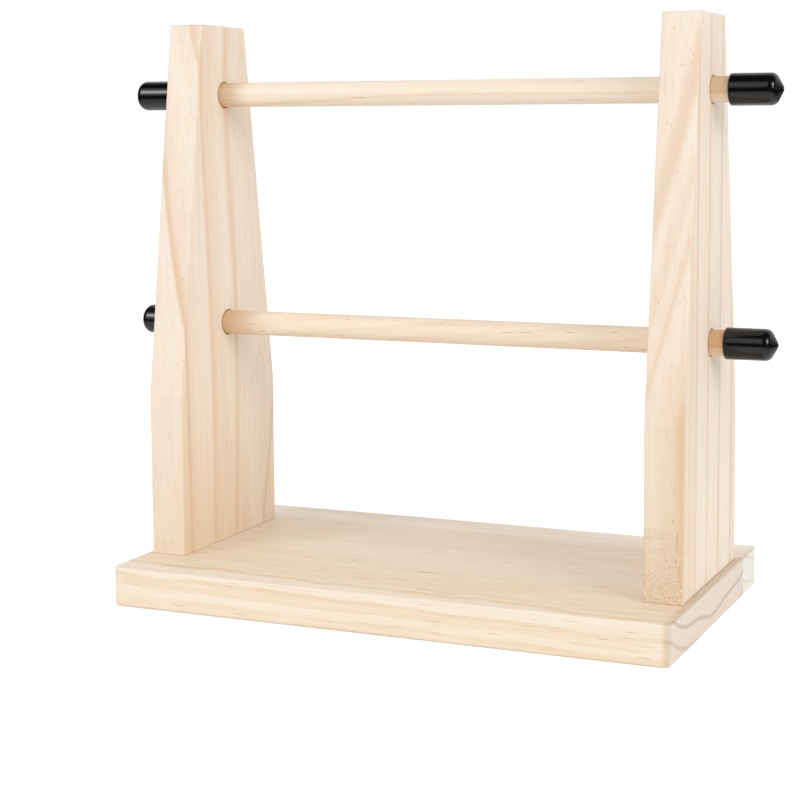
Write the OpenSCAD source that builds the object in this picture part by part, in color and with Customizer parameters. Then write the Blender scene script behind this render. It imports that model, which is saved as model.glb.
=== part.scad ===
// Yarn holder: two tapered pine uprights on a base board carry two loose rods for skeins of yarn.
// Each rod turns in its holes and is kept there by a push-on cap on either end.
// The origin is in the middle of the underside, +X runs along the rods, +Z is up, sizes are millimetres.

/* [Base] */
// Length of the base, along the rods
base_len = 300; // [260:5:330]
// Depth of the base, front to back
base_depth = 165; // [140:1:220]
// Thickness of the base boards
base_thick = 20; // [16:0.5:28]
// Depth of the narrow board that is glued along the rear edge
rear_board_depth = 29; // [15:1:32]
// Radius of the four upright corners of the base
base_corner_r = 5; // [1.5:0.5:10]

/* [Uprights] */
// Thickness of an upright
upright_thick = 19.5; // [15:0.5:28]
// Height of an upright above the base
upright_h = 281; // [265:1:340]
// Depth of an upright at its foot
foot_depth = 98; // [80:1:102]
// Depth of an upright at its top
top_depth = 44; // [30:1:70]
// Height of the straight part under the taper
straight_h = 85; // [40:1:120]
// Distance from an upright to the end of the base
end_inset = 3.5; // [1:0.5:20]
// Radius to which the edges of the boards are eased
ease_r = 0.8; // [0.3:0.1:1.5]

/* [Rods] */
// Diameter of a rod
rod_d = 13; // [10:0.5:18]
// Length of a rod
rod_len = 350; // [345:1:352]
// Height of the upper rod's axis above the ground
upper_rod_z = 264; // [220:1:270]
// Height of the lower rod's axis above the ground
lower_rod_z = 140; // [90:1:190]
// Radial play of a rod in its holes
rod_play = 0.1; // [0.05:0.01:0.1]
// Width of the chamfer on a rod's ends
rod_chamfer = 1; // [0.5:0.1:2]
// Width of the eased rim of each rod hole
rim_ease = 0.4; // [0.1:0.1:1]
// Bare stretch of the upper rod between an upright and a cap
upper_bare_end = 9; // [8:0.25:11]
// Bare stretch of the lower rod, whose caps are pushed further on
lower_bare_end = 8; // [8:0.25:11]
// Sideways place in which the lower rod lies
lower_rod_x = -0.5; // [-4:0.25:4]

/* [Caps] */
// Length of a cap from its lip to its tip
cap_len = 26; // [25:0.5:35]
// Thickness of a cap's wall
cap_wall = 1.35; // [1:0.05:2]
// Radius of the shoulder between the barrel and the cone
cap_shoulder_r = 4; // [2.5:0.1:5]
// Radius of the rounded tip
cap_tip_r = 3.5; // [2.2:0.1:4.5]
// Slope of the cone's surface, from square to the axis
cap_cone_slope = 30; // [10:1:40]
// Radial play of a cap on its rod
cap_play = 0.05; // [0.02:0.01:0.1]

/* [Screws] */
// Diameter of a wood screw over its thread
screw_d = 4; // [3:0.5:5]
// Length of a screw
screw_len = 45; // [38:1:60]
// Diameter of a screw's countersunk head
screw_head_d = 8; // [6.5:0.5:9]
// Distance between the two screws of an upright
screw_spacing = 56; // [40:1:70]

/* [Hidden] */
$fn = 64;
// A length beyond every surface, for cutting tools
beyond = 1;

// Planes of the boards
glue_y = base_depth / 2 - rear_board_depth;
outer_face_x = base_len / 2 - end_inset;
upright_x = outer_face_x - upright_thick / 2;
// Lean of an upright's front and back faces above the straight part
taper = atan((foot_depth - top_depth) / 2 / (upright_h - straight_h));

// Rods and caps
rod_r = rod_d / 2;
hole_r = rod_r + rod_play;
cap_bore_r = rod_r + cap_play;
cap_r = cap_bore_r + cap_wall;
cap_lip_r = cap_wall / 2;
cap_arc_steps = 12;

// Screws stand head down, a little below the surface of the underside
screw_sink = 0.4;
screw_rim = 0.4;
screw_point = 6;
screw_play = 0.2;
pilot_play = 0.02;
cross_w = 1.1;
cross_len = 4.6;
cross_deep = 1.6;

pine = [0.95, 0.87, 0.76];
pine_rod = [0.96, 0.86, 0.72];
black_vinyl = [0.07, 0.07, 0.08];
zinc = [0.72, 0.73, 0.74];

// Points along an arc, from one angle to another
function arc(centre, r, from, to) = [
    for (i = [0 : cap_arc_steps])
        let (a = from + (to - from) * i / cap_arc_steps)
        centre + r * [cos(a), sin(a)]
];

// Rectangle with round corners, centred
module round_rect(w, h, r) {
    square([w, h - 2 * r], center = true);
    square([w - 2 * r, h], center = true);
    for (x = [-1, 1], y = [-1, 1])
        translate([x * (w / 2 - r), y * (h / 2 - r)])
            circle(r);
}

// Whole base panel: the three outlines of a board with eased edges, crossed
module base_panel() {
    translate([0, 0, base_thick / 2])
        intersection() {
            linear_extrude(base_thick + 2 * beyond, center = true)
                round_rect(base_len, base_depth, base_corner_r);
            rotate([90, 0, 0])
                linear_extrude(base_depth + 2 * beyond, center = true)
                    round_rect(base_len, base_thick, ease_r);
            rotate([90, 0, 90])
                linear_extrude(base_len + 2 * beyond, center = true)
                    round_rect(base_depth, base_thick, ease_r);
        }
}

// Half space in front of the glue line, or behind it
module beside_glue_line(side) {
    translate([-base_len, side > 0 ? glue_y : glue_y - 2 * base_depth, -base_thick])
        cube([2 * base_len, 2 * base_depth, 3 * base_thick]);
}

// Places of the screws of one upright, side -1 on the left, 1 on the right
function screw_place(side, row) = [side * upright_x, row * screw_spacing / 2, screw_sink];

// Clearance hole with its countersink, standing at the head's flat
module screw_hole() {
    cylinder(h = base_thick + beyond, r = screw_d / 2 + screw_play);
    translate([0, 0, -screw_sink - beyond])
        cylinder(h = screw_sink + beyond + screw_rim, d = screw_head_d);
    translate([0, 0, screw_rim])
        cylinder(h = (screw_head_d - screw_d) / 2, d1 = screw_head_d, d2 = screw_d);
}

module base_front_board() {
    color(pine)
        difference() {
            intersection() {
                base_panel();
                beside_glue_line(-1);
            }
            for (side = [-1, 1], row = [-1, 1])
                translate(screw_place(side, row))
                    screw_hole();
        }
}

module base_rear_board() {
    color(pine)
        intersection() {
            base_panel();
            beside_glue_line(1);
        }
}

// House-shaped outline that trims an upright at its foot and takes the edge off its two top corners
module upright_trim() {
    slope = tan(45 - taper / 2);
    top_flat = top_depth / 2 - ease_r;
    eaves = upright_h - (foot_depth - top_flat) * slope;
    polygon([
        [-foot_depth, 0],
        [foot_depth, 0],
        [foot_depth, eaves],
        [0, upright_h + top_flat * slope],
        [-foot_depth, eaves]
    ]);
}

// Long bar with eased edges, its face on one taper of an upright, end -1 in front, 1 behind
module taper_bar(end) {
    translate([0, end * foot_depth / 2, straight_h])
        rotate([end * taper, 0, 0])
            translate([0, -end * foot_depth, 0])
                linear_extrude(3 * upright_h, center = true)
                    round_rect(upright_thick, 2 * foot_depth, ease_r);
}

// Board of an upright: bars with eased edges, crossed, and trimmed at the foot and the top corners
module upright_board() {
    intersection() {
        linear_extrude(2 * upright_h + 2 * beyond, center = true)
            round_rect(upright_thick, foot_depth, ease_r);
        taper_bar(-1);
        taper_bar(1);
        rotate([90, 0, 0])
            linear_extrude(foot_depth + 2 * beyond, center = true)
                round_rect(upright_thick, 2 * upright_h, ease_r);
        rotate([90, 0, 90])
            linear_extrude(upright_thick + 2 * beyond, center = true)
                upright_trim();
    }
}

// Hole for a rod, through an upright along X, with an eased rim on both faces
module rod_hole() {
    rotate([0, 90, 0]) {
        cylinder(h = upright_thick + 2 * beyond, r = hole_r, center = true);
        for (end = [-1, 1])
            translate([0, 0, end * (upright_thick / 2 - rim_ease / 2)])
                cylinder(
                    h = rim_ease,
                    r1 = end > 0 ? hole_r : hole_r + rim_ease,
                    r2 = end > 0 ? hole_r + rim_ease : hole_r,
                    center = true
                );
    }
}

module upright(side) {
    color(pine)
        translate([side * upright_x, 0, base_thick])
            difference() {
                upright_board();
                for (z = [upper_rod_z, lower_rod_z])
                    translate([0, 0, z - base_thick])
                        rod_hole();
                for (row = [-1, 1])
                    translate([0, row * screw_spacing / 2, -beyond])
                        cylinder(
                            h = screw_len - base_thick + screw_sink + 2 * beyond,
                            r = screw_d / 2 + pilot_play
                        );
            }
}

module left_upright() {
    upright(-1);
}

module right_upright() {
    upright(1);
}

// Turned rod, chamfered at both ends
module rod(x, z) {
    color(pine_rod)
        translate([x, 0, z])
            rotate([0, 90, 0])
                rotate_extrude()
                    polygon([
                        [0, -rod_len / 2],
                        [rod_r - rod_chamfer, -rod_len / 2],
                        [rod_r, rod_chamfer - rod_len / 2],
                        [rod_r, rod_len / 2 - rod_chamfer],
                        [rod_r - rod_chamfer, rod_len / 2],
                        [0, rod_len / 2]
                    ]);
}

module upper_rod() {
    rod(0, upper_rod_z);
}

module lower_rod() {
    rod(lower_rod_x, lower_rod_z);
}

// Dip-moulded cap, lip at 0 and tip up: an even wall over barrel, shoulder, cone and tip.
// The cone touches the shoulder's arc and the tip's arc where both lean as it does.
module cap() {
    lean = 90 - cap_cone_slope;
    tip_at = cap_len - cap_tip_r;
    shoulder_in = cap_r - cap_shoulder_r;
    shoulder_at = tip_at + (cap_tip_r - cap_shoulder_r - shoulder_in * cos(lean)) / sin(lean);
    rotate_extrude()
        polygon(concat(
            arc([cap_r - cap_lip_r, cap_lip_r], cap_lip_r, -180, 0),
            arc([shoulder_in, shoulder_at], cap_shoulder_r, 0, lean),
            arc([0, tip_at], cap_tip_r, lean, 90),
            arc([0, tip_at], cap_tip_r - cap_wall, 90, lean),
            arc([shoulder_in, shoulder_at], cap_shoulder_r - cap_wall, lean, 0)
        ));
}

// Caps in their places on the two rods, side -1 on the left end, 1 on the right
module rod_cap(side, x, z) {
    color(black_vinyl)
        translate([x, 0, z])
            rotate([0, side * 90, 0])
                cap();
}

module upper_cap(side) {
    rod_cap(side, side * (outer_face_x + upper_bare_end), upper_rod_z);
}

module lower_cap(side) {
    rod_cap(side, lower_rod_x + side * (outer_face_x + lower_bare_end), lower_rod_z);
}

module upper_left_cap() {
    upper_cap(-1);
}

module upper_right_cap() {
    upper_cap(1);
}

module lower_left_cap() {
    lower_cap(-1);
}

module lower_right_cap() {
    lower_cap(1);
}

// Countersunk wood screw with a cross recess, driven up through the base into an upright
module wood_screw(side, row) {
    color(zinc)
        translate(screw_place(side, row))
            difference() {
                rotate_extrude()
                    polygon([
                        [0, 0],
                        [screw_head_d / 2, 0],
                        [screw_head_d / 2, screw_rim],
                        [screw_d / 2, screw_rim + (screw_head_d - screw_d) / 2],
                        [screw_d / 2, screw_len - screw_point],
                        [0, screw_len]
                    ]);
                for (turn = [0, 90])
                    rotate([0, 0, turn])
                        cube([cross_len, cross_w, 2 * cross_deep], center = true);
            }
}

module left_front_screw() {
    wood_screw(-1, -1);
}

module left_rear_screw() {
    wood_screw(-1, 1);
}

module right_front_screw() {
    wood_screw(1, -1);
}

module right_rear_screw() {
    wood_screw(1, 1);
}

base_front_board();
base_rear_board();
left_upright();
right_upright();
upper_rod();
lower_rod();
upper_left_cap();
upper_right_cap();
lower_left_cap();
lower_right_cap();
left_front_screw();
left_rear_screw();
right_front_screw();
right_rear_screw();
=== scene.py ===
"""Finishes, light and camera for a pine yarn holder: two tapered uprights, two turning rods, black caps.

Lengths in the finishes are millimetres in the frame of the part: X along the rods, Y to the back, Z up.
"""

import math

import bpy
from mathutils import Matrix, Vector


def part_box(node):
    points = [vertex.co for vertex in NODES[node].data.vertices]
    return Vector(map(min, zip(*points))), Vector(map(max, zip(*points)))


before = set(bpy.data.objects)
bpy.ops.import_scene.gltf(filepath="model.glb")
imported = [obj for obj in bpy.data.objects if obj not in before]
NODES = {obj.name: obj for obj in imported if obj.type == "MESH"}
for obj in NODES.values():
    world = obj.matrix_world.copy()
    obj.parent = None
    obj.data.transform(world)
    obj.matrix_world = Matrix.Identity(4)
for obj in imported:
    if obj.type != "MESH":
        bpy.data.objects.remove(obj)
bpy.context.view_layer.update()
MM = 1000.0

# Faces that the finishes refer to
ROD_PLAY = 0.1
BASE_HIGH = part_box("base_front_board")[1] * MM
BASE_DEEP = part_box("base_rear_board")[1].y * MM
LEFT_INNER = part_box("left_upright")[1].x * MM
RIGHT_LOW, RIGHT_HIGH = (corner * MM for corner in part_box("right_upright"))
UPPER_LOW, UPPER_HIGH = (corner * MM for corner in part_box("upper_rod"))
LOWER_LOW, LOWER_HIGH = (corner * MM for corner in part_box("lower_rod"))
UPPER_Z = (UPPER_LOW.z + UPPER_HIGH.z) / 2
LOWER_Z = (LOWER_LOW.z + LOWER_HIGH.z) / 2
HOLE_R = (UPPER_HIGH.z - UPPER_LOW.z) / 2 + ROD_PLAY
FOOT_FRONT = RIGHT_LOW.y
FOOT_MIDDLE = (RIGHT_LOW.x + RIGHT_HIGH.x) / 2


def srgb(red, green, blue):
    """Scene-linear colour of a screen colour given from 0 to 255."""
    shares = [value / 255 for value in (red, green, blue)]
    linear = [s / 12.92 if s <= 0.04045 else ((s + 0.055) / 1.055) ** 2.4 for s in shares]
    return (*linear, 1.0)


# Tones of the timber
EARLY = srgb(245, 231, 214)
LATE = srgb(226, 189, 152)
WARM = srgb(226, 188, 138)
DUCT = srgb(146, 103, 64)
END_EARLY = srgb(239, 229, 217)
END_LATE = srgb(188, 158, 130)
FRONT_BOARD_EARLY = srgb(249, 236, 217)
FRONT_BOARD_LATE = srgb(229, 194, 146)
FRONT_BOARD_END = srgb(231, 219, 204)
REAR_BOARD_EARLY = srgb(253, 242, 226)
REAR_BOARD_END = srgb(243, 238, 228)
UPPER_ROD_EARLY = srgb(248, 235, 216)
UPPER_ROD_LATE = srgb(226, 188, 142)
UPPER_STUB = srgb(211, 178, 137)
LOWER_ROD_EARLY = srgb(248, 231, 211)
LOWER_ROD_LATE = srgb(230, 184, 134)
LOWER_STUB = srgb(208, 160, 110)

# Marks of working and use on it, with painted light: shade of the gap round the rod holes, shade on the rods'
# left ends, sheen on the base top
HOLE_GAP_SHADE = srgb(108, 74, 46)
JOINT_SHADE = srgb(132, 98, 68)
POLISH_AND_SHADE = srgb(208, 164, 104)
CORNER_TAN = srgb(188, 152, 114)
PAINTED_SHEEN = srgb(246, 240, 232)
SAWN_TAN = srgb(222, 201, 178)
SAWN_DARK = srgb(172, 134, 98)
SAWN_PALE = srgb(255, 248, 236)

# Caps and screws
VINYL_BLACK = srgb(9, 9, 10)
VINYL_DUSTY = srgb(24, 24, 26)
ZINC_DULL = srgb(176, 178, 182)
ZINC_BRIGHT = srgb(214, 216, 218)


class Value:
    """A socket in arithmetic: each operator adds the Math node that works it out."""

    def __init__(self, paint, socket):
        self.paint = paint
        self.socket = socket

    def _math(self, operation, *terms):
        return self.paint.add("ShaderNodeMath", {"operation": operation}, dict(enumerate(terms)))

    def __add__(self, other):
        return self._math("ADD", self, other)

    def __sub__(self, other):
        return self._math("SUBTRACT", self, other)

    def __rsub__(self, other):
        return self._math("SUBTRACT", other, self)

    def __mul__(self, other):
        return self._math("MULTIPLY", self, other)

    def __truediv__(self, other):
        return self._math("DIVIDE", self, other)

    def __pow__(self, power):
        return self._math("POWER", self, power)

    def __abs__(self):
        return self._math("ABSOLUTE", self)

    def most(self, other):
        """The larger of two values."""
        return self._math("MAXIMUM", self, other)

    def rise(self, low, high):
        """0 below low, 1 above high, a smooth step between; the other way round if low is above high."""
        settings = {"interpolation_type": "SMOOTHSTEP"}
        if low < high:
            return self.paint.add("ShaderNodeMapRange", settings, {0: self, 1: low, 2: high})
        return self.paint.add("ShaderNodeMapRange", settings, {0: self, 1: high, 2: low, 3: 1.0, 4: 0.0})

    __radd__ = __add__
    __rmul__ = __mul__


class Paint:
    """A node tree. add() puts any node in it, sets it up and gives one of its outputs."""

    def __init__(self, owner):
        owner.use_nodes = True
        self.owner = owner
        self.tree = owner.node_tree
        self.tree.nodes.clear()

    def add(self, kind, settings=None, sockets=None, out=0):
        """Adds a node of this kind: settings first, then values or links of its sockets."""
        node = self.tree.nodes.new(kind)
        for key, value in (settings or {}).items():
            if key == "stops":
                self._set_stops(node.color_ramp, value)
            else:
                setattr(node, key, value)
        for key, value in (sockets or {}).items():
            if isinstance(value, Value):
                self.tree.links.new(value.socket, node.inputs[key])
            else:
                node.inputs[key].default_value = value
        return Value(self, node.outputs[out]) if node.outputs else None

    def _set_stops(self, ramp, stops):
        """Stops of a ramp from 0 to 1, as pairs of a place and a grey level."""
        while len(ramp.elements) < len(stops):
            ramp.elements.new(1.0)
        for element, (place, level) in zip(ramp.elements, stops):
            element.position = place
            element.color = (level, level, level, 1.0)

    def place(self):
        """Object coordinates in millimetres, as three values."""
        metres = self.add("ShaderNodeTexCoord", out=3)
        scaled = self.add("ShaderNodeVectorMath", {"operation": "SCALE"}, {0: metres, 3: MM})
        parts = self.add("ShaderNodeSeparateXYZ", None, {0: scaled})
        outputs = parts.socket.node.outputs
        return [Value(self, socket) for socket in outputs]

    def join(self, x, y, z):
        """Vector of three values."""
        return self.add("ShaderNodeCombineXYZ", None, {0: x, 1: y, 2: z})

    def evenly(self, place, size):
        """Coordinates of a pattern with this size in every direction."""
        return self.join(*[value / size for value in place])

    def noise(self, vector, detail=2.0, roughness=0.5):
        """Smooth noise about 0, from -0.5 to 0.5, with a period of about 1."""
        sockets = {"Vector": vector, "Scale": 1.0, "Detail": detail, "Roughness": roughness}
        return self.add("ShaderNodeTexNoise", None, sockets) - 0.5

    def cells(self, vector):
        """Random cells with a period of about 1: distance from a cell's heart, and its chance, 0 to 1."""
        distance = self.add("ShaderNodeTexVoronoi", None, {"Vector": vector, "Scale": 1.0})
        colour = Value(self, distance.socket.node.outputs["Color"])
        return distance, self.add("ShaderNodeSeparateColor", None, {0: colour})

    def wave(self, value, crest, period):
        """Cosine over a value, 1 at the crest."""
        turn = (value - crest) * (math.tau / period)
        return self.add("ShaderNodeMath", {"operation": "COSINE"}, {0: turn})

    def mix(self, share, first, second):
        """Colour between two colours."""
        return self.add("ShaderNodeMix", {"data_type": "RGBA"}, {0: share, 6: first, 7: second}, out=2)

    def bump(self, height, strength, distance):
        """Normal that follows a height."""
        sockets = {"Height": height, "Strength": strength, "Distance": distance}
        return self.add("ShaderNodeBump", None, sockets)

    def surface(self, **sockets):
        """Principled shader on the output; words of a socket's name are joined by _ ."""
        named = {key.replace("_", " "): value for key, value in sockets.items()}
        shader = self.add("ShaderNodeBsdfPrincipled", None, named)
        self.add("ShaderNodeOutputMaterial", None, {"Surface": shader})
        return self.owner


# Patterns in timber: length along the grain, width across it, and a shift that sets some of them apart
FIBRES = (45.0, 0.9)
GRAIN_LINES = (110.0, 2.6, 1.3)
STREAKS = (170.0, 8.0, 2.9)
RING_BENDS = (140.0, 30.0)
DASH_CLUSTERS = (75.0, 16.0)

# How far fibres fray a ring, and how deep late wood and ducts lie where fibres are 1 high
RING_FRAY = 0.8
SUNKEN = 0.3

# Dashes: their faint rim and dark heart in cells, the pull of clusters, and how softly chance lets them in
DASH_RIM = (0.16, 0.06)
CLUSTER_SHIFT = 3.7
CLUSTER_PULL = 1.4
CHANCE_FADE = 0.25

# Fine patterns: the levels over which they darken the wood, and how much of the late tone each brings
PATTERN_LIFT = 0.06
PATTERN_FULL = 0.4
FIBRE_TONE = 0.2
GRAIN_TONE = 0.24
STREAK_TONE = 0.24

# Pores of a sawn end
PORE_SIZE = 0.9
PORE_TONE = 0.25


class Wood:
    """Solid timber: growth rings round a pith line, fibres along the grain and resin ducts.

    along is the coordinate down the grain, side and depth are the two across it from the pith line, in
    millimetres. The pith line tilts by so much of each for one along, and the fibres run beside it. ring is
    the distance from it, bent a little by smooth noise.
    """

    def __init__(self, name, grain, pith, tilt=(0.0, 0.0), wander=1.0):
        self.paint = Paint(bpy.data.materials.new(name))
        self.place = self.paint.place()
        self.x, self.y, self.z = self.place
        places = {"X": (self.x, self.y, self.z), "Z": (self.z, self.x, self.y)}
        self.along, side, depth = places[grain]
        self.side = side - pith[0] - self.along * tilt[0]
        self.depth = depth - pith[1] - self.along * tilt[1]
        self.fibre = self.paint.noise(self.stretched(*FIBRES), detail=4.0, roughness=0.6)
        self.grain = self.paint.noise(self.stretched(*GRAIN_LINES), detail=3.0, roughness=0.55)
        self.streak = self.paint.noise(self.stretched(*STREAKS), detail=3.0, roughness=0.55)
        bend = self.paint.noise(self.stretched(*RING_BENDS), detail=1.0) * (2 * wander)
        self.ring = (self.side ** 2.0 + self.depth ** 2.0) ** 0.5 + bend + self.fibre * RING_FRAY

    def stretched(self, length, width, shift=0.0):
        """Coordinates of a pattern with this length along the grain and this width across it."""
        return self.paint.join(self.along / length + shift, self.side / width, self.depth / width)

    def rings(self, *points):
        """Darkness over the ring distance: pairs of a distance and a level, with straight lines between."""
        low = points[0][0]
        span = points[-1][0] - low
        stops = [((distance - low) / span, level) for distance, level in points]
        return self.paint.add("ShaderNodeValToRGB", {"stops": stops}, {0: (self.ring - low) / span})

    def dashes(self, length, width, share, shift=0.0, crowd=0.0):
        """Dark lines along the grain: the hearts of long narrow cells, in clusters that take this share.

        crowd brings more of them where it is high.
        """
        heart, chance = self.paint.cells(self.stretched(length, width, shift))
        clusters = self.stretched(*DASH_CLUSTERS, CLUSTER_SHIFT + shift)
        luck = chance + self.paint.noise(clusters, detail=1.0) * CLUSTER_PULL + crowd
        return heart.rise(*DASH_RIM) * luck.rise(1.0 - share, 1.0 + CHANCE_FADE - share)

    def sawn_end(self, mask, late_share, early, late):
        """Layers of a sawn end: paler, greyer wood with dark pores, under the mask."""
        paint = self.paint
        pores = paint.noise(paint.evenly(self.place, PORE_SIZE), detail=3.0, roughness=0.7)
        rings = paint.mix(late_share, early, late)
        return [(mask, paint.mix(pores.rise(0.04, 0.3) * PORE_TONE, rings, late))]

    def finish(self, late_share, early, late, layers, flecks, hairs=0.22):
        """Material of the timber. layers holds pairs of a mask and a colour that lie over the grain.

        flecks are its resin ducts, hairs is the strength of its fine long lines.
        """
        paint = self.paint
        lines = self.dashes(length=170.0, width=1.1, share=0.4, shift=5.1)
        colour = paint.mix(late_share, early, late)
        patterns = ((self.fibre, FIBRE_TONE), (self.grain, GRAIN_TONE), (self.streak, STREAK_TONE))
        for pattern, tone in patterns:
            colour = paint.mix((pattern + PATTERN_LIFT).rise(0.0, PATTERN_FULL) * tone, colour, late)
        colour = paint.mix(lines * hairs, colour, DUCT)
        colour = paint.mix(flecks, colour, DUCT)
        for mask, tint in layers:
            colour = paint.mix(mask, colour, tint)
        relief = self.fibre - late_share * SUNKEN - flecks * SUNKEN
        normal = paint.bump(relief, strength=0.2, distance=0.0002)
        rough = 0.58 + self.fibre * 0.12 - late_share * 0.05
        return paint.surface(
            Base_Color=colour, Roughness=rough, Normal=normal, Specular_IOR_Level=0.25
        )


def late_edge(edge, strength, rise=8.0, crest=0.4, fall=0.7):
    """Points of one ring that darkens slowly outwards to its crest and ends sharply at its edge."""
    return [
        (edge - rise, 0.0),
        (edge - 0.35 * rise, 0.35 * strength),
        (edge - crest, strength),
        (edge + fall, 0.0),
    ]


def late_line(centre, strength, half=1.2):
    """Points of one ring that shows as a thin line with soft flanks, the inner one wider."""
    return [
        (centre - 1.8 * half, 0.0),
        (centre - 0.4 * half, strength),
        (centre + 0.4 * half, strength),
        (centre + 1.4 * half, 0.0),
    ]


# Painted shade of the gap round a rod hole, joint line above the base and skin of the sawn top: from faint to
# full
RIM_FAINT = HOLE_R + 0.55
RIM_FULL = HOLE_R + 0.3
RIM_TONE = 0.85
JOINT_LINE = (0.6, 0.3)
TOP_SKIN = (-0.6, -0.2)


def upright_layers(wood, late, joint_share, warm_share):
    """What lies over an upright's grain, from its foot to its top.

    A warmer tone, painted shade as dark rims round the rod holes, the dark joint line and the sawn top.
    """
    layers = [(warm_share, WARM)]
    for axis in (UPPER_Z, LOWER_Z):
        reach = (wood.y ** 2.0 + (wood.z - axis) ** 2.0) ** 0.5
        # Painted shade: a dark rim stands for the shadowed gap between rod and hole
        layers.append((reach.rise(RIM_FAINT, RIM_FULL) * RIM_TONE, HOLE_GAP_SHADE))
    joint = (wood.z - BASE_HIGH.z).rise(*JOINT_LINE)
    layers.append((joint * joint_share, JOINT_SHADE))
    top = (wood.z - RIGHT_HIGH.z).rise(*TOP_SKIN)
    return layers + wood.sawn_end(top, late, END_EARLY, END_LATE)


def left_upright_pine():
    """Rings round a pith that stands off the inner face, so the taper cuts them into slanting bands.

    Near the rear edge of the foot a ring leans backwards on its way up, and at the top of the front one leans
    outwards. The foot is warmer, partly by its own tint and partly by painted shade near the base, with a tan
    strip up the front edge of the inner face, whose foot is darkened further by painted shade. Flecks crowd
    at the rear, at the top and low on the front.
    """
    wood = Wood("left_upright_pine", "Z", pith=(-97.0, 20.5), tilt=(0.0092, -0.0308))
    inside = wood.x.rise(LEFT_INNER - 0.45, LEFT_INNER - 0.05)

    rear_edge = wood.y.rise(25.0, 38.0)
    rear_dip = wood.y.rise(7.0, 17.0) * wood.y.rise(36.0, 24.0)
    behind_front = wood.y.rise(-60.0, -10.0)
    top_end = wood.z.rise(276.0, 301.0)
    backwards = (wood.z - BASE_HIGH.z) * rear_edge * 0.17
    sway = wood.paint.wave(wood.z, crest=115.0, period=300.0) * behind_front * 1.6
    wood.ring = wood.ring - backwards + sway - rear_dip * 4.0 - top_end * (1 - inside) * 3.0
    late = wood.rings(
        *late_line(33.0, 0.5, half=0.9), *late_edge(48.3, 0.6, rise=12.0), *late_edge(68.5, 0.8)
    )

    low = wood.z.rise(140.0, 30.0)
    high = wood.z.rise(200.0, 290.0)
    rear = wood.y.rise(12.0, 22.0)
    # Warmer foot: partly the wood's own tint, partly painted shade near the base
    warm_and_shade = low * (0.18 + inside * (0.12 - rear * 0.14)) + high * inside * 0.1
    front_strip = inside * wood.y.rise(-41.5, -43.5) * wood.z.rise(150.0, 60.0)
    # Painted shade: the inner face darkens towards the base
    painted_foot_shade = inside * wood.z.rise(85.0, 20.0)
    tans = [(front_strip * 0.2, WARM), (painted_foot_shade * 0.055, JOINT_SHADE)]
    layers = tans + upright_layers(wood, late, joint_share=0.3, warm_share=warm_and_shade)

    fleck_rear = wood.y.rise(5.0, 20.0)
    fleck_top = wood.z.rise(225.0, 290.0)
    fleck_foot = wood.z.rise(120.0, 40.0) * wood.y.rise(-30.0, -46.0)
    crowd = fleck_rear * 0.4 + fleck_top * 0.25 + fleck_foot * 0.5
    flecks = wood.dashes(length=44.0, width=0.9, share=0.6, crowd=crowd) * 0.7
    return wood.finish(late, EARLY, LATE, layers, flecks, hairs=0.3)


# Cracks in the front of the right foot: from its left edge, lowest and highest above the base
FOOT_CRACKS = ((15.9, 17.5, 22.6), (17.5, 13.9, 19.7), (16.4, 25.5, 35.0), (14.5, 39.3, 41.5))
CRACK_LEAN = 0.05
CRACK_FRAY = 0.1
CRACK_TIP = 0.6
CRACK_RIM = (0.36, 0.08)

# Rough patch on that foot: its top, how ragged that is, its saw lines and its specks
PATCH_TOP = (38.5, 35.0)
RAGGED_SIZE = 4.0
RAGGED_DEPTH = 6.0
SAW_LENGTH = 14.0
SAW_PITCH = 0.7
SPECK_SIZE = 0.5
SPECK_RIM = (0.7, 0.3)


def sawn_foot(wood):
    """Layers of a rough patch on the front of the foot: tan, with fine saw lines, pale specks and dark dots.

    The specks crowd towards the bottom and the edges, and a few short cracks run up its right half.
    """
    paint = wood.paint
    height = wood.z - BASE_HIGH.z
    aside = abs(wood.x - FOOT_MIDDLE)
    front = wood.y.rise(FOOT_FRONT + 1.2, FOOT_FRONT + 0.5)
    ragged = paint.noise(paint.evenly(wood.place, RAGGED_SIZE), detail=3.0) * RAGGED_DEPTH
    patch = front * (height + ragged).rise(*PATCH_TOP)

    tan = 0.3 + height.rise(30.0, 4.0) * 0.4
    edges = aside.rise(7.5, 9.8)
    lines = paint.join(wood.x / SAW_LENGTH, wood.y / SAW_LENGTH, wood.z / SAW_PITCH)
    saw = paint.noise(lines, detail=2.0, roughness=0.6).rise(0.04, 0.2)
    saw_height = height.rise(14.0, 30.0)

    cracks = 0.0
    for place, low, high in FOOT_CRACKS:
        aslant = wood.x - RIGHT_LOW.x - place - (height - low) * CRACK_LEAN + ragged * CRACK_FRAY
        bottom = height.rise(low - CRACK_TIP, low + CRACK_TIP)
        top = height.rise(high + CRACK_TIP, high - CRACK_TIP)
        cracks = abs(aslant).rise(*CRACK_RIM) * (bottom * top) + cracks

    heart, chance = paint.cells(paint.evenly(wood.place, SPECK_SIZE))
    speck = heart.rise(*SPECK_RIM)
    bottom_corners = height.rise(12.0, 1.0) * (0.1 + aside.rise(4.0, 9.5) * 0.25)
    crowd = height.rise(31.0, 14.0) * 0.17 + bottom_corners
    dark = (1.0 - chance + crowd * 0.5).rise(0.95, 1.05)
    pale = (chance + crowd).rise(1.0, 1.08)
    return [
        (patch * tan, SAWN_TAN),
        (patch * edges * 0.3, WARM),
        (front * cracks * 0.5, DUCT),
        (patch * saw * saw_height * 0.2, SAWN_DARK),
        (patch * speck * dark * 0.75, SAWN_DARK),
        (patch * speck * pale, SAWN_PALE),
    ]


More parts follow.
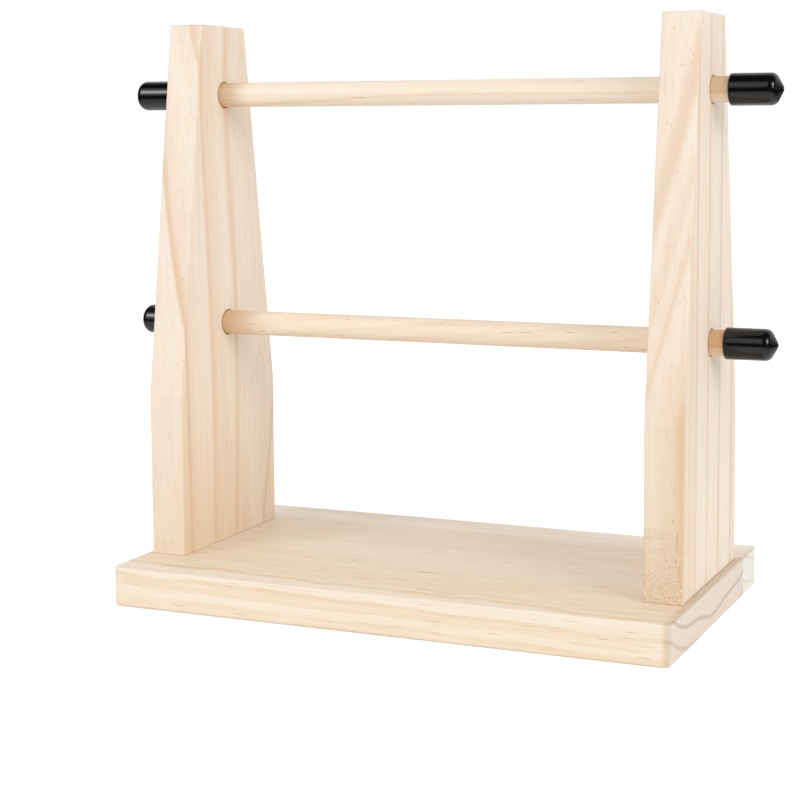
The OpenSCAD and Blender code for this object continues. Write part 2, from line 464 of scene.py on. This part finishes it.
def right_upright_pine():
    """Rings round a distant pith, off the inner face and behind the rear edge.

    They show as thin straight lines on the sides. The front is warmer towards its rough foot, and flecks
    crowd on it and at the top.
    """
    wood = Wood("right_upright_pine", "Z", pith=(68.0, 103.0), tilt=(-0.005, 0.011), wander=0.6)
    late = wood.rings(
        *late_line(101.9, 0.5), *late_line(118.8, 0.55), *late_line(136.0, 0.5),
        *late_line(153.2, 0.48, half=1.6), *late_line(158.8, 0.25), *late_edge(163.0, 0.45, rise=3.0),
        *late_edge(172.5, 0.95, rise=7.0)
    )
    front = wood.y.rise(-20.0, FOOT_FRONT + 1.0)
    low = wood.z.rise(250.0, 30.0)
    high = wood.z.rise(200.0, 290.0)
    layers = sawn_foot(wood) + upright_layers(
        wood, late, joint_share=0.75 - front * 0.4, warm_share=low * front * 0.2
    )
    crowd = front * 0.14 + high * 0.2
    flecks = wood.dashes(length=28.0, width=1.15, share=0.5, crowd=crowd) * 0.6
    return wood.finish(late, EARLY, LATE, layers, flecks)


def base_layers(wood, arcs, early):
    """Sawn ends of a base board, with a tan upper edge, and the tan of its rounded corners on the right."""
    ends = abs(wood.x).rise(BASE_HIGH.x - 0.9, BASE_HIGH.x - 0.3)
    right = wood.x.rise(BASE_HIGH.x - 4.8, BASE_HIGH.x - 1.2)
    corners = right * abs(wood.y).rise(BASE_DEEP - 4.6, BASE_DEEP - 1.0)
    upper_edge = ends * (wood.z - BASE_HIGH.z).rise(-1.2, -0.4)
    tans = [(corners * (0.45 + arcs * 0.4), CORNER_TAN), (upper_edge * 0.45, CORNER_TAN)]
    return wood.sawn_end(ends, arcs, early, END_LATE) + tans


def base_front_pine():
    """Flat-sawn board with its pith high above: a shallow wavy arc on the ends, long bands on the front.

    The bands are blotchy and fade to the rear. The top carries a pale painted sheen away from the front edge,
    has long flecks, and is tan beyond the right upright.
    """
    wood = Wood("base_front_pine", "X", pith=(-2.0, 227.0), tilt=(0.0, -0.016))
    off_ends = (BASE_HIGH.x - abs(wood.x)).rise(0.0, 30.0)
    ripple = wood.paint.noise(wood.stretched(40.0, 60.0, 0.7), detail=1.0) * off_ends * 5.5
    swell = wood.paint.wave(wood.y, crest=-6.0, period=52.0) * 1.2
    wood.ring = wood.ring - swell + ripple + wood.fibre * 0.9 + 2.25
    late = wood.rings(
        (209.0, 0.1), (213.0, 0.33), (218.6, 0.28), *late_line(221.0, 0.5, half=1.0),
        (228.9, 0.0), (229.9, 0.38), (230.8, 0.36), (231.6, 0.2), (234.2, 0.24), (235.1, 0.32), (235.7, 0.0),
        (238.0, 0.0), (240.0, 0.3), (241.5, 0.22), (246.0, 0.36)
    )
    patches = wood.paint.noise(wood.stretched(60.0, 9.0, 1.9)) * 1.6
    blots = wood.paint.noise(wood.stretched(18.0, 1.8, 4.3)) * 2.2
    rearwards = wood.y.rise(10.0, 55.0)
    late = late * (1.0 + patches + blots) * (1.0 - rearwards * 0.4)
    arcs = wood.rings(*late_line(220.3, 0.58, half=0.9), *late_line(230.2, 0.42, half=0.9))

    top = (wood.z - BASE_HIGH.z).rise(-1.2, -0.3)
    # Painted sheen: the top is paled towards the rear
    painted_sheen = top * wood.y.rise(-65.0, -20.0)
    beyond = wood.x.rise(RIGHT_HIGH.x - 1.5, RIGHT_HIGH.x + 1.5)
    margin = top * beyond * (0.18 + wood.y.rise(-80.0, -50.0) * 0.22)
    layers = [(painted_sheen * 0.14, PAINTED_SHEEN), (margin, CORNER_TAN)]
    layers += base_layers(wood, arcs, FRONT_BOARD_END)

    flecks = wood.dashes(length=36.0, width=1.05, share=0.62, crowd=late * 0.9) * 0.55
    top_flecks = wood.dashes(length=62.0, width=3.0, share=0.95, shift=2.3) * top * 0.55
    return wood.finish(late, FRONT_BOARD_EARLY, FRONT_BOARD_LATE, layers, flecks.most(top_flecks))


def base_rear_pine():
    """Narrow board glued on behind, with faint ring lines across two corners of its ends."""
    wood = Wood("base_rear_pine", "X", pith=(101.5, 162.0), tilt=(0.0, 0.004))
    late = wood.rings(*late_line(150.0, 0.18, half=1.0), *late_line(162.0, 0.18, half=1.0))
    layers = base_layers(wood, late, REAR_BOARD_END)
    flecks = wood.dashes(length=24.0, width=1.15, share=0.15) * 0.5
    return wood.finish(late, REAR_BOARD_EARLY, LATE, layers, flecks)


# Depth of the rods' pith below their axes
PITH_DROP = 40.0


def rod_layers(wood, axis, reach, stub_tan):
    """Golden polish where a rod runs in the holes, and a deeper tan on the upper side of its stubs.

    The polish reaches so far out of the holes. It is stronger on the left, where the extra tan is painted
    shade and warm bounce from the left upright.
    """
    stubs = abs(wood.x).rise(RIGHT_LOW.x + 14.0, RIGHT_HIGH.x)
    above = wood.z - axis
    upper_side = 0.15 + above.rise(-5.0, -3.4) * 0.25 + above.rise(-2.5, -1.5) * 0.4
    near_holes = abs(wood.x).rise(RIGHT_LOW.x - reach, RIGHT_LOW.x + 4.0)
    # Painted shade and warm bounce of the left upright, laid on the rods' left ends as extra tan
    left_shade = wood.x.rise(180.0, -100.0)
    return [(near_holes * left_shade * 0.75, POLISH_AND_SHADE), (stubs * upper_side, stub_tan)]


def upper_rod_pine():
    """Straight-grained rod: one ring line climbs from its underside to half its height, and stays there."""
    wood = Wood("upper_rod_pine", "X", pith=(0.0, UPPER_Z - PITH_DROP), wander=0.6)
    climb = wood.x.rise(-125.0, 5.0) * 4.5
    wood.ring = wood.ring - climb
    late = wood.rings((28.0, 0.05), (33.8, 0.08), (34.8, 0.42), (35.5, 0.1), (39.0, 0.0), (46.0, 0.05))
    layers = rod_layers(wood, UPPER_Z, reach=20.0, stub_tan=UPPER_STUB)
    flecks = wood.dashes(length=40.0, width=1.15, share=0.48) * 0.75
    return wood.finish(late, UPPER_ROD_EARLY, UPPER_ROD_LATE, layers, flecks)


def lower_rod_pine():
    """Rod with its grain running out, so that faint bands and flecks slant along it."""
    wood = Wood("lower_rod_pine", "X", pith=(0.0, LOWER_Z - PITH_DROP), tilt=(0.0, 0.1), wander=0.8)
    bands = [point for edge in (31.0, 38.0, 45.0, 52.0) for point in late_edge(edge, 0.2, rise=5.0)]
    late = wood.rings((20.0, 0.25), *bands)
    layers = rod_layers(wood, LOWER_Z, reach=26.0, stub_tan=LOWER_STUB)
    flecks = wood.dashes(length=40.0, width=1.15, share=0.95) * 0.7
    return wood.finish(late, LOWER_ROD_EARLY, LOWER_ROD_LATE, layers, flecks)


def black_vinyl():
    """Dip-moulded soft vinyl: glossy black with a faint orange-peel surface and a little dust."""
    paint = Paint(bpy.data.materials.new("black_vinyl"))
    place = paint.place()
    peel = paint.noise(paint.evenly(place, 2.4), detail=1.0)
    dust = paint.noise(paint.evenly(place, 0.7), detail=3.0)
    colour = paint.mix((dust + 0.2).rise(0.0, 1.0) * 0.3, VINYL_BLACK, VINYL_DUSTY)
    normal = paint.bump(peel, strength=0.02, distance=0.0004)
    rough = 0.11 + peel * 0.06
    return paint.surface(Base_Color=colour, Roughness=rough, Normal=normal, Specular_IOR_Level=0.4)


def zinc_steel():
    """Bright zinc plating with a slightly cloudy face."""
    paint = Paint(bpy.data.materials.new("zinc_steel"))
    cloud = paint.noise(paint.evenly(paint.place(), 2.5), detail=4.0)
    colour = paint.mix(cloud + 0.5, ZINC_DULL, ZINC_BRIGHT)
    return paint.surface(Base_Color=colour, Metallic=1.0, Roughness=0.32 + cloud * 0.2)


def dress(material, *names):
    """Puts a material in every slot of these nodes."""
    for name in names:
        for slot in NODES[name].material_slots:
            slot.material = material


dress(left_upright_pine(), "left_upright")
dress(right_upright_pine(), "right_upright")
dress(base_front_pine(), "base_front_board")
dress(base_rear_pine(), "base_rear_board")
dress(upper_rod_pine(), "upper_rod")
dress(lower_rod_pine(), "lower_rod")
dress(black_vinyl(), *[f"{row}_{side}_cap" for row in ("upper", "lower") for side in ("left", "right")])
dress(zinc_steel(), *[f"{side}_{row}_screw" for side in ("left", "right") for row in ("front", "rear")])


# Camera of the photograph: place in metres, turn in degrees, focal length and centre in pixels
CAMERA_PLACE = Vector((0.372546, -0.837489, 0.245926))
CAMERA_YAW = 21.808
CAMERA_PITCH = 5.080
CAMERA_ROLL = -0.193
FOCAL_PIXELS = 1760.624
CENTRE_PIXEL = (505.772, 284.016)
PICTURE_PIXELS = 800
SENSOR_MM = 36.0


def place_camera():
    """Camera that looks from the photograph's viewing point."""
    data = bpy.data.cameras.new("camera")
    camera = bpy.data.objects.new("camera", data)
    bpy.context.scene.collection.objects.link(camera)
    data.sensor_width = SENSOR_MM
    data.lens = FOCAL_PIXELS * SENSOR_MM / PICTURE_PIXELS
    data.shift_x = (PICTURE_PIXELS / 2 - CENTRE_PIXEL[0]) / PICTURE_PIXELS
    data.shift_y = (CENTRE_PIXEL[1] - PICTURE_PIXELS / 2) / PICTURE_PIXELS
    turn = (
        Matrix.Rotation(math.radians(CAMERA_YAW), 4, "Z")
        @ Matrix.Rotation(math.radians(90 - CAMERA_PITCH), 4, "X")
        @ Matrix.Rotation(math.radians(CAMERA_ROLL), 4, "Z")
    )
    camera.matrix_world = Matrix.Translation(CAMERA_PLACE) @ turn
    bpy.context.scene.camera = camera


def bearing(azimuth, elevation):
    """Unit vector from the object in a direction in degrees; azimuth 0 is in front, positive to the right."""
    a = math.radians(azimuth)
    e = math.radians(elevation)
    return Vector((math.sin(a) * math.cos(e), -math.cos(a) * math.cos(e), math.sin(e)))


# Two soft lamps, in metres: direction, width and height, brightness that each gives a white card, and tint
AIM = Vector((0.0, 0.0, 0.13))
LAMP_DISTANCE = 2.6
FRONT_LAMP = bearing(-36.0, 26.0)
FRONT_SIZE = (0.8, 0.75)
FRONT_LEVEL = 0.22
FRONT_TINT = (1.0, 0.985, 0.96)
RIGHT_LAMP = bearing(66.0, 24.0)
RIGHT_SIZE = (1.5, 1.5)
RIGHT_LEVEL = 0.34
RIGHT_TINT = (0.97, 0.985, 1.0)

# Floor in metres: half its side, its gap below the part, its tone and the glow that lifts it to white
FLOOR_HALF = 6.0
FLOOR_GAP = 0.0004
FLOOR_TONE = (0.92, 0.92, 0.92, 1.0)
FLOOR_LIFT = 0.42
FLOOR_FADE_MM = (250.0, 1100.0)

# Room: its even light on surfaces, what gloss sees of it, and glows as edge and heart in degrees
WHITE = (1.0, 1.0, 1.0, 1.0)
EVEN_LIGHT = 0.67
ROOM_LEVEL = 0.05
BACKWARDS = (0.0, 1.0, 0.0)
WALL_GLOW = (84.0, 45.0)
FRONT_GLOW = (30.0, 10.0)
FRONT_GLOW_LEVEL = 1.7
RIGHT_GLOW = (6.0, 3.0)
RIGHT_GLOW_LEVEL = 20.0


def softbox(name, towards, size, level, tint):
    """Area lamp that gives a white card facing it this brightness at the object."""
    data = bpy.data.lights.new(name, "AREA")
    data.shape = "RECTANGLE"
    data.size, data.size_y = size
    data.energy = level * (math.pi * LAMP_DISTANCE) ** 2
    data.color = tint
    lamp = bpy.data.objects.new(name, data)
    bpy.context.scene.collection.objects.link(lamp)
    lamp.location = AIM + towards * LAMP_DISTANCE
    lamp.rotation_mode = "QUATERNION"
    lamp.rotation_quaternion = towards.to_track_quat("Z", "Y")


def ray_kinds(paint):
    """Whether the light path is a camera ray, a mirrored one or one through glass."""
    outputs = paint.add("ShaderNodeLightPath").socket.node.outputs
    kinds = ("Is Camera Ray", "Is Glossy Ray", "Is Transmission Ray")
    return [Value(paint, outputs[kind]) for kind in kinds]


def pale_floor():
    """White floor that keeps soft shadows and is lifted to white where it is seen or mirrored.

    In mirrored rays it fades into the dim room with the distance from the object.
    """
    corners = [(x * FLOOR_HALF, y * FLOOR_HALF, -FLOOR_GAP) for x, y in ((-1, -1), (1, -1), (1, 1), (-1, 1))]
    mesh = bpy.data.meshes.new("floor")
    mesh.from_pydata(corners, [], [(0, 1, 2, 3)])
    floor = bpy.data.objects.new("floor", mesh)
    bpy.context.scene.collection.objects.link(floor)
    paint = Paint(bpy.data.materials.new("floor_white"))
    camera, glossy, clear = ray_kinds(paint)
    x, y, _ = paint.place()
    far = ((x ** 2.0 + y ** 2.0) ** 0.5).rise(*FLOOR_FADE_MM)
    seen = camera.most(glossy).most(clear)
    matt = paint.add("ShaderNodeBsdfDiffuse", None, {"Color": FLOOR_TONE})
    lift = paint.add("ShaderNodeEmission", None, {"Strength": seen * FLOOR_LIFT})
    near = paint.add("ShaderNodeAddShader", None, {0: matt, 1: lift})
    dim = paint.add("ShaderNodeEmission", None, {"Strength": ROOM_LEVEL})
    both = paint.add("ShaderNodeMixShader", None, {0: glossy * far, 1: near, 2: dim})
    paint.add("ShaderNodeOutputMaterial", None, {"Surface": both})
    mesh.materials.append(paint.owner)


def studio_world():
    """White backdrop for the camera and even light for surfaces.

    Gloss shows a dim room with a white wall behind the object and the glow of the two lamps' screens.
    """
    world = bpy.data.worlds.new("studio")
    bpy.context.scene.world = world
    paint = Paint(world)
    camera, glossy, clear = ray_kinds(paint)
    way = paint.add("ShaderNodeTexCoord")

    def glow(towards, edge, heart, level):
        """Round glow about a direction: 0 beyond the edge, full inside the heart, both in degrees."""
        near = paint.add("ShaderNodeVectorMath", {"operation": "DOT_PRODUCT"}, {0: way, 1: towards}, out=1)
        return near.rise(math.cos(math.radians(edge)), math.cos(math.radians(heart))) * level

    seen = camera.most(clear)
    wall = glow(BACKWARDS, *WALL_GLOW, 1.0 - ROOM_LEVEL)
    front = glow(FRONT_LAMP, *FRONT_GLOW, FRONT_GLOW_LEVEL)
    right = glow(RIGHT_LAMP, *RIGHT_GLOW, RIGHT_GLOW_LEVEL)
    room = ROOM_LEVEL + wall + front + right
    strength = (1 - seen) * (1 - glossy) * EVEN_LIGHT + glossy * room + seen
    shade = paint.add("ShaderNodeBackground", None, {"Color": WHITE, "Strength": strength})
    paint.add("ShaderNodeOutputWorld", None, {"Surface": shade})


place_camera()
pale_floor()
studio_world()
softbox("front_softbox", FRONT_LAMP, FRONT_SIZE, FRONT_LEVEL, FRONT_TINT)
softbox("right_softbox", RIGHT_LAMP, RIGHT_SIZE, RIGHT_LEVEL, RIGHT_TINT)
bpy.context.scene.view_settings.view_transform = "Standard"
